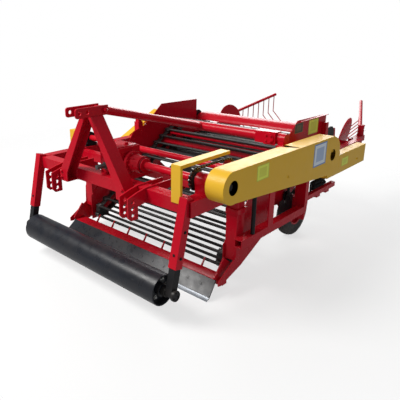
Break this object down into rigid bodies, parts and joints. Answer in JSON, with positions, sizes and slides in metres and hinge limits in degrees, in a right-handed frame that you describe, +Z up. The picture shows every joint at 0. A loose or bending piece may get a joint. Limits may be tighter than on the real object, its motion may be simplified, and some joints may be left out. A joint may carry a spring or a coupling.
{
  "type": "tractor-mounted potato harvester",
  "caption": "Mounted potato digger with a front depth roller, digging blade, rod webs between side panels, side chain cases, ground wheels and rear swath guides.",
  "frame": {"origin": "centre of the machine's footprint at ground level, under the middle of its overall box", "axes": "+X to the machine's left, the side with the long chain case; +Y rearward, away from the tractor; +Z up"},
  "size_m": [1.911, 3.5318, 1.274],
  "materials": {
    "red_paint": "glossy red enamel",
    "yellow_paint": "semi-gloss golden yellow enamel",
    "black_paint": "satin black paint",
    "bare_steel": "bare machined steel",
    "rubber": "matt black rubber over steel rod",
    "tyre": "matt black tyre rubber",
    "worn_steel": "dark slate paint on steel",
    "chain_steel": "oiled dark roller chain"
  },
  "bodies": {
    "frame": {"case_brackets": "red_paint", "chain_guards": "yellow_paint", "cross_tube": "red_paint", "digging_blade": "worn_steel", "drive_chains": "chain_steel", "drive_hub": "red_paint", "drive_shaft": "bare_steel", "drive_tube": "red_paint", "frame_posts": "red_paint", "front_beam": "red_paint", "front_web": "rubber", "front_web_drive_shaft": "bare_steel", "gearbox": "red_paint", "guide_pivots": "red_paint", "guide_plates": "red_paint", "hood_end_discs": "black_paint", "jackshaft": "red_paint", "lower_hitch_brackets": "red_paint", "lower_rails": "red_paint", "main_chain_case": "yellow_paint", "mast": "red_paint", "mast_brace": "red_paint", "panel_posts": "red_paint", "rail_strut": "black_paint", "rear_arms": "red_paint", "rear_chain_case": "yellow_paint", "rear_columns": "red_paint", "rear_hood": "red_paint", "rear_posts": "red_paint", "rear_rails": "red_paint", "rear_web": "rubber", "rear_web_drive_shaft": "bare_steel", "roller_arms": "red_paint", "second_cross_beam": "red_paint", "shaft_bearings": "black_paint", "shovel_beam": "red_paint", "shovel_wings": "red_paint", "side_beams": "red_paint", "side_panels": "red_paint", "side_plates": "red_paint", "web_cross_members": "red_paint", "web_idlers": "black_paint", "web_support_rollers": "black_paint", "web_tension_levers": "black_paint", "wheel_axles": "bare_steel"},
    "roller": {"roller": "worn_steel"},
    "roller_carrier": {"roller_axle": "black_paint", "roller_carrier_tubes": "black_paint"},
    "wheel_left": {"tyre_left": "tyre", "rim_left": "red_paint"},
    "wheel_right": {"tyre_right": "tyre", "rim_right": "red_paint"},
    "pto": {"pto_stub": "bare_steel"},
    "guide_left": {"swath_guide_left": "red_paint"},
    "guide_right": {"swath_guide_right": "red_paint"}
  },
  "joints": [
    {"name": "roller_slide", "type": "slide", "parent": "frame", "child": "roller_carrier", "axis": [0, -0.2332, -0.9724], "range_m": [-0.1, 0.095]},
    {"name": "roller_spin", "type": "hinge", "parent": "roller_carrier", "child": "roller", "pos_m": [-0.0455, -1.662, 0.207], "axis": [1, 0, 0], "continuous": true},
    {"name": "wheel_left_spin", "type": "hinge", "parent": "frame", "child": "wheel_left", "pos_m": [0.6205, 0.071, 0.213], "axis": [1, 0, 0], "continuous": true},
    {"name": "wheel_right_spin", "type": "hinge", "parent": "frame", "child": "wheel_right", "pos_m": [-0.7115, 0.071, 0.213], "axis": [1, 0, 0], "continuous": true},
    {"name": "pto_spin", "type": "hinge", "parent": "frame", "child": "pto", "pos_m": [-0.0455, -1.517, 0.838], "axis": [0, 1, 0], "continuous": true},
    {"name": "guide_left_swing", "type": "hinge", "parent": "frame", "child": "guide_left", "pos_m": [0.7045, 1.233, 0.768], "axis": [0, 0, 1], "range_deg": [-20, 20]},
    {"name": "guide_right_swing", "type": "hinge", "parent": "frame", "child": "guide_right", "pos_m": [-0.7955, 1.233, 0.768], "axis": [0, 0, -1], "range_deg": [-20, 20]}
  ]
}
